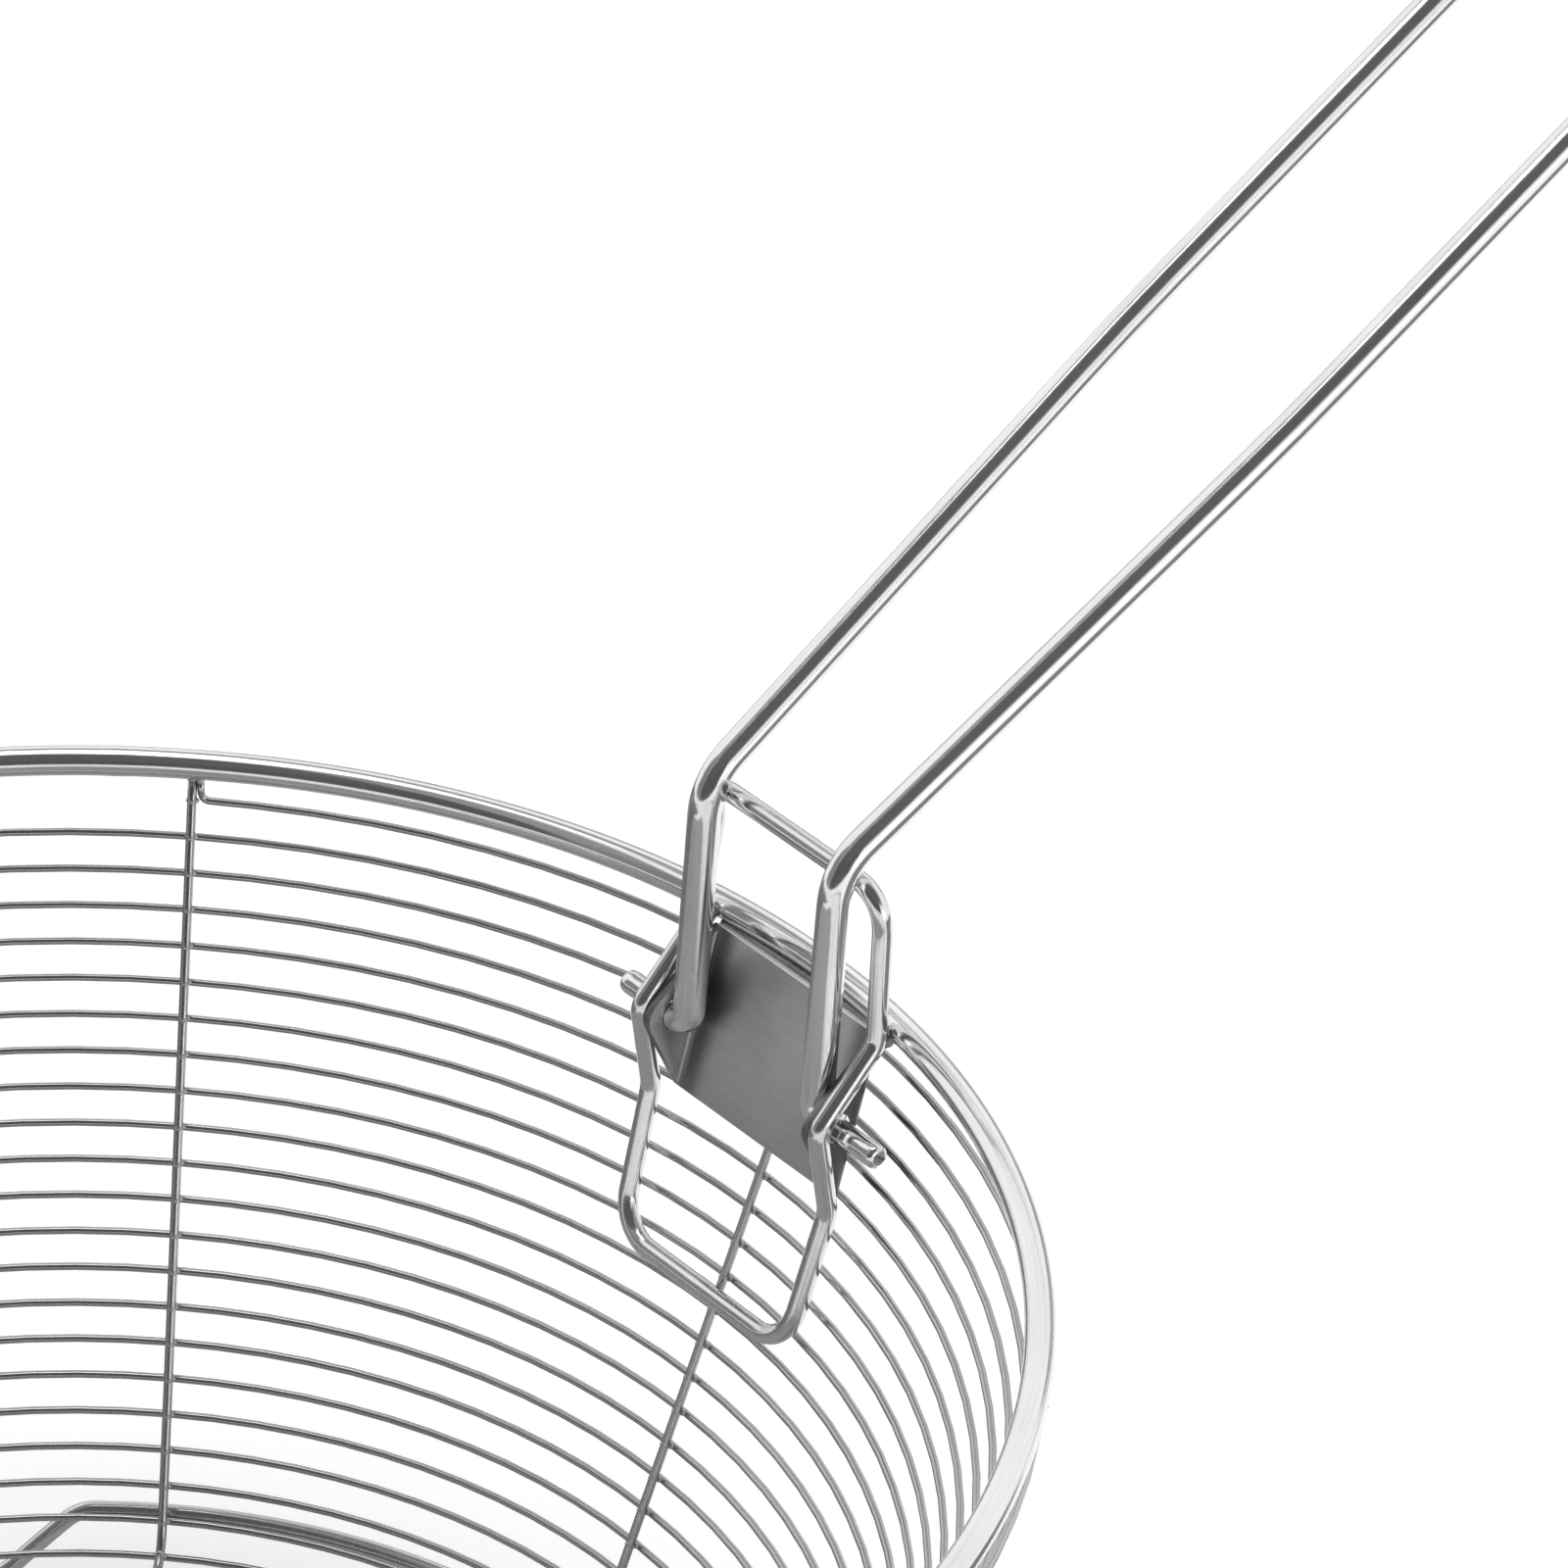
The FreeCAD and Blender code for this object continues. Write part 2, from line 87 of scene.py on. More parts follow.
def densify(points, longest, closed=False):
    """Adds points so that no run is longer than a length."""
    out = []
    count = len(points)
    for i in range(count if closed else count - 1):
        near = points[i]
        far = points[(i + 1) % count]
        steps = max(1, math.ceil((far - near).length / longest))
        for k in range(steps):
            out.append(near.lerp(far, k / steps))
    if not closed:
        out.append(points[-1])
    return out


def swelling(away, spread, height):
    """Relative width of a wire near the seam where it was welded closed."""
    return 1.0 + height * math.exp(-(away / spread) ** 2)


def tangents_along(points, closed):
    count = len(points)
    tangents = []
    for i in range(count):
        before = points[i - 1] if closed or i > 0 else points[i]
        after = points[(i + 1) % count] if closed or i < count - 1 else points[i]
        tangents.append((after - before).normalized())
    return tangents


def sides_along(tangents, closed):
    """A direction across the wire at each point, carried along it without a twist."""
    nearly_upright = 0.9
    start = UP if abs(tangents[0].z) < nearly_upright else X_AXIS
    sides = [(start - tangents[0] * start.dot(tangents[0])).normalized()]
    for i in range(1, len(tangents)):
        side = tangents[i - 1].rotation_difference(tangents[i]) @ sides[-1]
        sides.append((side - tangents[i] * side.dot(tangents[i])).normalized())
    if not closed:
        return sides
    end = tangents[-1].rotation_difference(tangents[0]) @ sides[-1]
    twist = math.atan2(end.cross(sides[0]).dot(tangents[0]), end.dot(sides[0]))
    count = len(sides)
    return [Quaternion(tangents[i], twist * i / count) @ sides[i] for i in range(count)]


def tube(name, points, radius, sides, closed=False, widths=None):
    """A round wire along points. widths scales the radius at each point."""
    count = len(points)
    tangents = tangents_along(points, closed)
    across = sides_along(tangents, closed)
    mesh = bmesh.new()
    lay = mesh.loops.layers.uv.new("along")
    rings = []
    lengths = [0.0]
    for i in range(count):
        up = tangents[i].cross(across[i])
        reach = radius * (widths[i] if widths else 1.0)
        ring = []
        for k in range(sides):
            angle = 2 * math.pi * k / sides
            spot = points[i] + (across[i] * math.cos(angle) + up * math.sin(angle)) * reach
            ring.append(mesh.verts.new(spot * MM))
        rings.append(ring)
        following = points[(i + 1) % count]
        lengths.append(lengths[-1] + (following - points[i]).length)
    for i in range(count if closed else count - 1):
        near = rings[i]
        far = rings[(i + 1) % count]
        for k in range(sides):
            j = (k + 1) % sides
            face = mesh.faces.new((near[k], near[j], far[j], far[k]))
            face.smooth = True
            spots = ((i, k), (i, k + 1), (i + 1, k + 1), (i + 1, k))
            for loop, (place, turn) in zip(face.loops, spots):
                loop[lay].uv = (lengths[place], turn / sides)
    if not closed:
        mesh.faces.new(list(reversed(rings[0])))
        mesh.faces.new(rings[-1])
    return finish_solid(name, mesh)


def prism(name, outline, along):
    """A flat outline drawn out along a vector."""
    mesh = bmesh.new()
    near = [mesh.verts.new(spot * MM) for spot in outline]
    far = [mesh.verts.new((spot + along) * MM) for spot in outline]
    mesh.faces.new(near)
    mesh.faces.new(list(reversed(far)))
    for i in range(len(near)):
        j = (i + 1) % len(near)
        mesh.faces.new((near[j], near[i], far[i], far[j]))
    return finish_solid(name, mesh)


def blobs(name, spots):
    """Rounded lumps of weld metal. A spot gives a lump's centre, its outward direction, the
    direction that it is long in, and its half sizes: along, across and outward."""
    pattern = bmesh.new()
    bmesh.ops.create_uvsphere(pattern, u_segments=8, v_segments=5, radius=1.0)
    sphere = [vert.co.copy() for vert in pattern.verts]
    patches = [[vert.index for vert in face.verts] for face in pattern.faces]
    pattern.free()
    mesh = bmesh.new()
    for centre, outward, along, (length, width, height) in spots:
        across = outward.cross(along).normalized()
        corners = []
        for corner in sphere:
            spot = centre + along * (corner.x * length) + across * (corner.y * width)
            corners.append(mesh.verts.new((spot + outward * (corner.z * height)) * MM))
        for patch in patches:
            face = mesh.faces.new([corners[k] for k in patch])
            face.smooth = True
    return finish_solid(name, mesh)


def finish_solid(name, mesh):
    bmesh.ops.recalc_face_normals(mesh, faces=mesh.faces)
    return finish_mesh(name, mesh)


def finish_mesh(name, mesh):
    data = bpy.data.meshes.new(name)
    mesh.to_mesh(data)
    mesh.free()
    piece = bpy.data.objects.new(name, data)
    bpy.context.scene.collection.objects.link(piece)
    return piece


# Parts of materials. Most add nodes to a tree and give the socket where they end.

def new_material(name):
    material = bpy.data.materials.new(name)
    material.use_nodes = True
    tree = material.node_tree
    return material, tree, tree.nodes["Principled BSDF"]


def object_place(tree):
    return tree.nodes.new("ShaderNodeTexCoord").outputs["Object"]


def stretched(tree, place, scale):
    mapping = tree.nodes.new("ShaderNodeMapping")
    mapping.inputs["Scale"].default_value = scale
    tree.links.new(place, mapping.inputs["Vector"])
    return mapping.outputs["Vector"]


def noise(tree, place, scale, detail):
    texture = tree.nodes.new("ShaderNodeTexNoise")
    texture.inputs["Scale"].default_value = scale
    texture.inputs["Detail"].default_value = detail
    tree.links.new(place, texture.inputs["Vector"])
    return texture.outputs["Fac"]


def mixed(tree, first, second, share):
    """Two values in one, with a share of the second."""
    mix = tree.nodes.new("ShaderNodeMix")
    mix.data_type = "FLOAT"
    mix.inputs["Factor"].default_value = share
    tree.links.new(first, mix.inputs["A"])
    tree.links.new(second, mix.inputs["B"])
    return mix.outputs["Result"]


def ramp(tree, value, low, high, start=0.0, end=1.0):
    """A colour that goes from low to high as the value goes from start to end."""
    tone = tree.nodes.new("ShaderNodeValToRGB")
    tone.color_ramp.elements[0].position = start
    tone.color_ramp.elements[1].position = end
    tone.color_ramp.elements[0].color = (*low, 1)
    tone.color_ramp.elements[1].color = (*high, 1)
    tree.links.new(value, tone.inputs["Fac"])
    return tone.outputs["Color"]


def mapped(tree, value, source, target, curve="LINEAR"):
    """A value moved from one range to another."""
    change = tree.nodes.new("ShaderNodeMapRange")
    change.interpolation_type = curve
    change.inputs["From Min"].default_value = source[0]
    change.inputs["From Max"].default_value = source[1]
    change.inputs["To Min"].default_value = target[0]
    change.inputs["To Max"].default_value = target[1]
    tree.links.new(value, change.inputs["Value"])
    return change.outputs["Result"]


def add_relief(tree, shader, height, strength, distance):
    bump = tree.nodes.new("ShaderNodeBump")
    bump.inputs["Strength"].default_value = strength
    bump.inputs["Distance"].default_value = distance
    tree.links.new(height, bump.inputs["Height"])
    tree.links.new(bump.outputs["Normal"], shader.inputs["Normal"])


def seen_directly(tree):
    """1 where the camera, a reflection or clear glass looks at a surface, otherwise 0."""
    kind = tree.nodes.new("ShaderNodeLightPath")
    seen = kind.outputs["Is Camera Ray"]
    for ray in ("Is Glossy Ray", "Is Transmission Ray"):
        either = tree.nodes.new("ShaderNodeMath")
        either.operation = "MAXIMUM"
        tree.links.new(seen, either.inputs[0])
        tree.links.new(kind.outputs[ray], either.inputs[1])
        seen = either.outputs[0]
    return seen


# Materials

def wire_steel(name, shade, roughness, drawn):
    """Drawn and polished stainless wire: fine lines along it, small marks, soft tone changes."""
    material, tree, shader = new_material(name)
    shader.inputs["Metallic"].default_value = 1.0
    uv = tree.nodes.new("ShaderNodeUVMap")
    uv.uv_map = "along"
    drawn_out = stretched(tree, uv.outputs["UV"], scale=(0.05, 26.0, 1.0))
    place = object_place(tree)
    lines = noise(tree, drawn_out, scale=1.0, detail=4.0)
    marks = noise(tree, place, scale=900.0, detail=3.0)
    clouds = noise(tree, place, scale=45.0, detail=2.0)
    both = mixed(tree, lines, clouds, share=0.5)
    low = shade * 0.88
    high = shade * 1.072
    cool = (low, low, low * 1.01)
    warm = (high, high, high * 0.995)
    tree.links.new(ramp(tree, both, cool, warm, start=0.3, end=0.7), shader.inputs["Base Color"])
    rough = mapped(tree, marks, (0.3, 0.7), (roughness * 0.8, roughness * 1.3))
    tree.links.new(rough, shader.inputs["Roughness"])
    add_relief(tree, shader, lines, strength=drawn, distance=0.00002)
    return material


def sheet_steel(name, shade, roughness, metal=1.0, shaded_folds=False):
    """Satin sheet: fine grain, faint rolling lines, clouded tone, and painted shade along the
    folds.
    """
    material, tree, shader = new_material(name)
    shader.inputs["Metallic"].default_value = metal
    shader.inputs["Roughness"].default_value = roughness
    place = object_place(tree)
    rolled_out = stretched(tree, place, scale=(2600.0, 160.0, 2600.0))
    lines = noise(tree, rolled_out, scale=1.0, detail=3.0)
    grain = noise(tree, place, scale=3200.0, detail=2.0)
    clouds = noise(tree, place, scale=130.0, detail=3.0)
    both = mixed(tree, clouds, lines, share=0.45)
    low = shade * 0.86
    high = shade * 1.12
    tone = ramp(tree, both, (low, low, low * 1.02), (high, high, high), start=0.25, end=0.75)
    if shaded_folds:
        tone = painted_fold_shade(tree, place, tone)
    tree.links.new(tone, shader.inputs["Base Color"])
    add_relief(tree, shader, grain, strength=0.25, distance=0.00003)
    return material


def painted_fold_shade(tree, place, tone):
    """Darkens a tone towards both folds: painted shade along them."""
    shade_starts = 0.0104
    shade_full = 0.0136
    darkest = 0.4
    split = tree.nodes.new("ShaderNodeSeparateXYZ")
    tree.links.new(place, split.inputs["Vector"])
    side = tree.nodes.new("ShaderNodeMath")
    side.operation = "ABSOLUTE"
    tree.links.new(split.outputs["Y"], side.inputs[0])
    span = (shade_starts, shade_full)
    near_fold = mapped(tree, side.outputs[0], span, (1.0, darkest), curve="SMOOTHSTEP")
    darker = tree.nodes.new("ShaderNodeVectorMath")
    darker.operation = "SCALE"
    tree.links.new(tone, darker.inputs[0])
    tree.links.new(near_fold, darker.inputs["Scale"])
    return darker.outputs["Vector"]


def weld_steel(name, shade):
    """Weld metal: rougher than the wires and finely pitted, with a trace of heat colour."""
    material, tree, shader = new_material(name)
    shader.inputs["Metallic"].default_value = 1.0
    shader.inputs["Roughness"].default_value = 0.42
    pits = noise(tree, object_place(tree), scale=2400.0, detail=3.0)
    tone = ramp(tree, pits, (shade * 0.7, shade * 0.67, shade * 0.63), (shade, shade, shade))
    tree.links.new(tone, shader.inputs["Base Color"])
    add_relief(tree, shader, pits, strength=0.5, distance=0.0001)
    return material


STEEL_RIM = wire_steel("steel_rim", 0.86, 0.12, 0.25)
# The wound wire's steel is darker than the rim's: painted shade for the darker look of the wall's
# wires.
STEEL_COIL_SHADED = wire_steel("steel_coil_shaded", 0.52, 0.18, 0.2)
STEEL_RIB = wire_steel("steel_rib", 0.45, 0.22, 0.2)
STEEL_BASE = wire_steel("steel_base", 0.66, 0.2, 0.3)
STEEL_STAY = wire_steel("steel_stay", 0.78, 0.15, 0.35)
STEEL_HANDLE = wire_steel("steel_handle", 0.86, 0.12, 0.3)
STEEL_SHEET = sheet_steel("steel_sheet", 0.56, 0.4)
# The plate's front: painted shade darkens it towards both folds.
STEEL_PLATE = sheet_steel("steel_plate", 0.61, 0.4, shaded_folds=True)
# A dark copy of the sheet steel for the ears' outer sides: painted shade.
STEEL_EAR_SHADED = sheet_steel("steel_ear_shaded", 0.14, 0.4)
# Pale matt steel for the cut edges: sheared edges are matt, and the pale tone paints a highlight
# along the plate's top edge.
STEEL_EDGE_HIGHLIGHT = sheet_steel("steel_edge_highlight", 0.95, 0.5, metal=0.0)
# Weld metal for the bead behind the plate and the stay's welds. It is darker than the spot welds:
# painted shade in the gaps between plate, ears and rim.
STEEL_BEAD_SHADED = weld_steel("steel_bead_shaded", 0.4)
STEEL_WELD = weld_steel("steel_weld", 0.72)


def dress(piece, material, body, slot_name, *stands_for):
    piece.data.materials.append(material)
    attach(piece, body)
    if stands_for:
        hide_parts(*stands_for)


# Wall and bottom, with the same sizes as the solids have

COIL_WIRE = 1.0
COIL_PITCH = 4.7
COIL_RADIUS = RIM_RADIUS + 0.7
COIL_DROP = 5.8
COIL_STEPS = 96
RIB_TURN = -0.5
COIL_START = 45.0 + RIB_TURN
WALL_LEAN = math.radians(23.4)
DEPTH = 97.0
CORNER = 7.0
EYE_RADIUS = 7.0
FOOT_DROP = DEPTH - CORNER * (1 - math.sin(WALL_LEAN))
FOOT_RADIUS = COIL_RADIUS - (FOOT_DROP - COIL_DROP) * math.tan(WALL_LEAN)
WALL_LENGTH = (FOOT_DROP - COIL_DROP) / math.cos(WALL_LEAN)
CORNER_LENGTH = CORNER * (math.pi / 2 - WALL_LEAN)

# The coil's upper end, from under the rim down to the highest turn: degrees, and drop
COIL_TAIL = (
    (0.5, 2.6), (0.5, 4.4), (0.52, 4.9), (0.58, 5.3), (0.7, 5.58), (0.88, 5.75), (1.1, 5.8),
)


def profile(length, inset=0.0):
    """Radius and drop at a length along wall, corner and bottom, moved inward by an inset."""
    if length <= WALL_LENGTH:
        facing = WALL_LEAN
        radius = COIL_RADIUS - length * math.sin(WALL_LEAN)
        drop = COIL_DROP + length * math.cos(WALL_LEAN)
    elif length <= WALL_LENGTH + CORNER_LENGTH:
        facing = WALL_LEAN + (length - WALL_LENGTH) / CORNER
        radius = FOOT_RADIUS - CORNER * (math.cos(WALL_LEAN) - math.cos(facing))
        drop = FOOT_DROP - CORNER * (math.sin(WALL_LEAN) - math.sin(facing))
    else:
        facing = math.pi / 2
        radius = FOOT_RADIUS - CORNER * math.cos(WALL_LEAN) - (length - WALL_LENGTH - CORNER_LENGTH)
        drop = DEPTH
    return radius - inset * math.cos(facing), drop - inset * math.sin(facing)


def coil_radius(turned):
    """The coil's radius after so many degrees."""
    return profile(COIL_PITCH * turned / 360)[0]


def on_wall(turned, degrees, inset=0.0):
    """A point on the wall, as far down as the coil is after so many degrees."""
    radius, drop = profile(COIL_PITCH * turned / 360, inset)
    return polar(radius, degrees, RIM_LEVEL - drop)


def coil_path():
    points = [polar(COIL_RADIUS, COIL_START - away, RIM_LEVEL - drop) for away, drop in COIL_TAIL]
    turned = 360 / COIL_STEPS
    while coil_radius(turned) >= EYE_RADIUS:
        points.append(on_wall(turned, COIL_START - turned))
        turned += 360 / COIL_STEPS
    return points


coil = tube("wound_wire", coil_path(), COIL_WIRE / 2, sides=8)
dress(coil, STEEL_COIL_SHADED, "basket", "fine_wire", "coil_wire")

# Ribs, with weld metal under the rim and wherever they cross the coil: a low mark on the
# rib's inner side, and a wider seat between rib and coil

RIB_WIRE = 1.2
RIB_COUNT = 8
RIB_DROP = 2.1
RIB_END_RADIUS = 10.0
RIB_INSET = (COIL_WIRE + RIB_WIRE) / 2
RIB_LEAN_INSET = RIB_INSET / math.cos(WALL_LEAN)
RIB_TOP_RADIUS = COIL_RADIUS + (COIL_DROP - RIB_DROP) * math.tan(WALL_LEAN) - RIB_LEAN_INSET
LAST_WELD_RADIUS = 11.0
SEAT_INSET = COIL_WIRE / 2
MARK_INSET = COIL_WIRE / 2 + RIB_WIRE - 0.06
MARK_SINK = 0.1
MARK_SIZES = (0.5, 0.42, 0.2)
SEAT_SIZES = (0.95, 0.5, 0.35)
TOP_WELD_SIZES = (0.7, 0.6, 0.5)
TOP_WELD_RADIUS = RIB_TOP_RADIUS - 0.5
TOP_WELD_DROP = RIB_DROP + 0.4
TAIL_WELD = polar(COIL_RADIUS - 0.2, COIL_START - 0.5, RIM_LEVEL - 2.7)
TAIL_WELD_SIZES = (0.6, 0.6, 0.5)


def rib_path(degrees):
    bottom_drop = DEPTH - RIB_INSET
    foot_radius = FOOT_RADIUS - (bottom_drop - FOOT_DROP) * math.tan(WALL_LEAN) - RIB_LEAN_INSET
    corners = [
        polar(RIB_TOP_RADIUS, degrees, RIM_LEVEL - RIB_DROP),
        polar(foot_radius, degrees, RIM_LEVEL - bottom_drop),
        polar(RIB_END_RADIUS, degrees, RIM_LEVEL - bottom_drop),
    ]
    return densify(bent_path(corners, [0, CORNER - RIB_INSET, 0]), longest=3.0)


def rib_welds(degrees):
    outward = polar(1.0, degrees, 0)
    around = polar(1.0, degrees + 90, 0)
    spots = []
    turned = (COIL_START - degrees) % 360
    while coil_radius(turned) >= LAST_WELD_RADIUS:
        seat = on_wall(turned, degrees, SEAT_INSET)
        mark = on_wall(turned, degrees, MARK_INSET)
        inward = (mark - seat).normalized()
        spots.append((mark - inward * MARK_SINK, inward, around, MARK_SIZES))
        spots.append((seat, inward, around, SEAT_SIZES))
        turned += 360
    top = polar(TOP_WELD_RADIUS, degrees, RIM_LEVEL - TOP_WELD_DROP)
    return spots + [(top, outward, around, TOP_WELD_SIZES)]


weld_spots = []
for i in range(RIB_COUNT):
    degrees = RIB_TURN + i * 360 / RIB_COUNT
    rib = tube("upright_%d" % (i + 1), rib_path(degrees), RIB_WIRE / 2, sides=12)
    dress(rib, STEEL_RIB, "basket", "rib_wire", "rib_%d" % (i + 1))
    weld_spots += rib_welds(degrees)
tail_outward = polar(1.0, COIL_START, 0)
tail_around = polar(1.0, COIL_START + 90, 0)
weld_spots.append((TAIL_WELD, tail_outward, tail_around, TAIL_WELD_SIZES))
dress(blobs("spot_welds", weld_spots), STEEL_WELD, "basket", "rib_wire")

# Rim, with the slightly swollen seam where the ring is closed

RIM_SEAM = 49.0
RIM_STEPS = 360
rim_points = []
rim_widths = []
for i in range(RIM_STEPS):
    degrees = 360 * i / RIM_STEPS
    away = abs((degrees - RIM_SEAM + 180) % 360 - 180)
    rim_points.append(polar(RIM_RADIUS, degrees, RIM_LEVEL))
    rim_widths.append(swelling(away, spread=0.8, height=0.03))
rim = tube("rim_hoop", rim_points, RIM_WIRE / 2, sides=20, closed=True, widths=rim_widths)
dress(rim, STEEL_RIM, "basket", "rim_wire", "rim_ring")

# Base ring with four feet. Their widths and slopes are in degrees around the ring.

RING_WIRE = 2.2
RING_LIFT = 5.0
FOOT_DEPTH = 10.0
FOOT_COUNT = 4
FOOT_PLACE = 0.75
FOOT_STEPS = 180
FOOT_WIDTH = 8.5
FOOT_SLOPE = 6.9
FOOT_ROUNDING = 1.3
RING_OUTSET = (COIL_WIRE + RING_WIRE) / 2 / math.cos(WALL_LEAN)
RING_DROP = DEPTH - RING_LIFT
RING_RADIUS = FOOT_RADIUS + (FOOT_DROP - RING_DROP) * math.tan(WALL_LEAN) + RING_OUTSET


def ring_path():
    high = RING_WIRE / 2 + FOOT_DEPTH
    outer = FOOT_WIDTH + FOOT_SLOPE
    bay = 360 / FOOT_COUNT
    points = []
    for i in range(FOOT_COUNT):
        middle = (i + FOOT_PLACE) * bay
        for k in range(FOOT_STEPS):
            away = -bay / 2 + bay * k / FOOT_STEPS
            depth = smooth_step((outer - abs(away)) / FOOT_SLOPE, FOOT_ROUNDING / FOOT_SLOPE)
            points.append(polar(RING_RADIUS, middle + away, high - FOOT_DEPTH * depth))
    return points


def smooth_step(value, soft):
    """A ramp from 0 to 1 whose two corners are rounded over a width on each side."""
    if value <= -soft:
        return 0.0
    if value >= 1 + soft:
        return 1.0
    if value < soft:
        return (value + soft) ** 2 / (4 * soft)
    if value > 1 - soft:
        return 1 - (1 + soft - value) ** 2 / (4 * soft)
    return value


base = tube("foot_ring", ring_path(), RING_WIRE / 2, sides=14, closed=True)
dress(base, STEEL_BASE, "basket", "base_wire", "base_ring")

# Bracket: one folded sheet, a plate with an ear on each side

SHEET = 1.2
HANDLE_WIRE = 4.2
LEG_OFFSET = 12.7
LEG_BEND = 2.3
EAR_PLAY = 0.1
EAR_INSIDE = LEG_OFFSET + LEG_BEND + EAR_PLAY
HALF_WIDTH = EAR_INSIDE + SHEET
PIVOT_INSET = 10.3
PIVOT_DROP = 11.7
PIVOT_PLAY = 0.06
BORE_SIDES = 40
PLATE_TOP_INSET = 3.35
PLATE_TOP_DROP = 1.4
PLATE_FOOT_INSET = 10.0
PLATE_DROP = 22.6
EAR_REACH = 15.2
EAR_DROP = 10.6
EAR_ROUND = 3.0
FOLD = 2.0
SOFT_EDGE = 0.14
SOFT_ANGLE = math.radians(40)
SHARP_ANGLE = math.radians(32)


def carve(piece, tool, operation):
    """Keeps or removes what a tool covers, and takes the tool away."""
    step = piece.modifiers.new(operation.lower(), "BOOLEAN")
    step.operation = operation
    step.solver = "EXACT"
    step.object = tool
    apply_modifiers(piece)
    data = tool.data
    bpy.data.objects.remove(tool)
    bpy.data.meshes.remove(data)


def apply_modifiers(piece):
    graph = bpy.context.evaluated_depsgraph_get()
    shaped = bpy.data.meshes.new_from_object(piece.evaluated_get(graph))
    old = piece.data
    piece.modifiers.clear()
    piece.data = shaped
    bpy.data.meshes.remove(old)


def bracket_channel():
    foot = at_bracket(PLATE_FOOT_INSET, 0, -PLATE_DROP)
    top = at_bracket(PLATE_TOP_INSET, 0, -PLATE_TOP_DROP)
    tip = at_bracket(EAR_REACH, 0, -EAR_DROP)
    pivot = at_bracket(PIVOT_INSET, 0, -PIVOT_DROP)
    upward = (top - foot).normalized()
    inward = Vector((-upward.z, 0, upward.x))
    face = foot - upward * SHEET
    back = face - inward * SHEET
    tips = face + inward * ((tip - foot).dot(inward) + SHEET)
    inside = Y_AXIS * EAR_INSIDE
    outside = Y_AXIS * HALF_WIDTH
    beyond = outside * 1.5
    through = outside * 3

    channel = [
        tips + outside, back + outside, back - outside, tips - outside,
        tips - inside, face - inside, face + inside, tips + inside,
    ]
    bends = [0, FOLD, FOLD, 0, 0, FOLD - SHEET, FOLD - SHEET, 0]
    section = bent_path(channel, bends, closed=True, step=12.0)
    piece = prism("bracket_channel", section, upward * ((top - foot).length + 2 * SHEET))

    behind = inward * (-2 * SHEET)
    corners = [foot + behind, foot, tip, top, top + behind]
    outline = bent_path(corners, [0, 0, EAR_ROUND, 0, 0], closed=True, step=8.0)
    shape = prism("side_outline", [spot - beyond for spot in outline], through)
    carve(piece, shape, "INTERSECT")

    ring = []
    for k in range(BORE_SIDES):
        angle = 2 * math.pi * k / BORE_SIDES
        reach = HANDLE_WIRE / 2 + PIVOT_PLAY
        ring.append(pivot + Vector((math.cos(angle), 0, math.sin(angle))) * reach - beyond)
    carve(piece, prism("pivot_bore", ring, through), "DIFFERENCE")

    soften = piece.modifiers.new("soften", "BEVEL")
    soften.width = SOFT_EDGE * MM
    soften.segments = 2
    soften.limit_method = "ANGLE"
    soften.angle_limit = SOFT_ANGLE
    apply_modifiers(piece)
    for face in piece.data.polygons:
        face.use_smooth = True
    piece.data.set_sharp_from_angle(angle=SHARP_ANGLE)
    return piece


bracket = bracket_channel()
dress(bracket, STEEL_SHEET, "basket", "bracket_sheet", "bracket")
for material in (STEEL_PLATE, STEEL_EAR_SHADED, STEEL_EDGE_HIGHLIGHT):
    bracket.data.materials.append(material)

# The plate's front has painted shade along its folds, the ears' outer sides a dark tone that
# paints shade, and the cut edges a pale matt tone that paints a highlight. The bores keep the
# sheet's. A limit says how far a face has to look that way.

PLATE_TONE = 1
EAR_SHADE = 2
EDGE_HIGHLIGHT = 3
PLATE_LIMIT = 0.6
EAR_LIMIT = 0.7
EDGE_SIDE_LIMIT = 0.3
EDGE_BACK_LIMIT = 0.9
plate_lean = math.atan2(PLATE_FOOT_INSET - PLATE_TOP_INSET, PLATE_DROP - PLATE_TOP_DROP)
plate_facing = Vector((-math.cos(plate_lean), 0, math.sin(plate_lean)))
pivot = at_bracket(PIVOT_INSET, 0, -PIVOT_DROP) * MM
for face in bracket.data.polygons:
    from_pivot = Vector((face.center.x - pivot.x, 0, face.center.z - pivot.z)).length
    outward = face.normal.y * math.copysign(1, face.center.y)
    frontward = face.normal.dot(plate_facing)
    cut_edge = abs(face.normal.y) < EDGE_SIDE_LIMIT and frontward > -EDGE_BACK_LIMIT
    if outward > EAR_LIMIT:
        face.material_index = EAR_SHADE
    elif frontward > PLATE_LIMIT:
        face.material_index = PLATE_TONE
    elif cut_edge and from_pivot > HANDLE_WIRE * MM:
        face.material_index = EDGE_HIGHLIGHT

# Weld bead behind the plate's upper edge. At each place it lies against the rim and the
# back of the sheet, a little thicker or thinner where it ripples. A ripple is a height,
# radians per millimetre, and a shift.

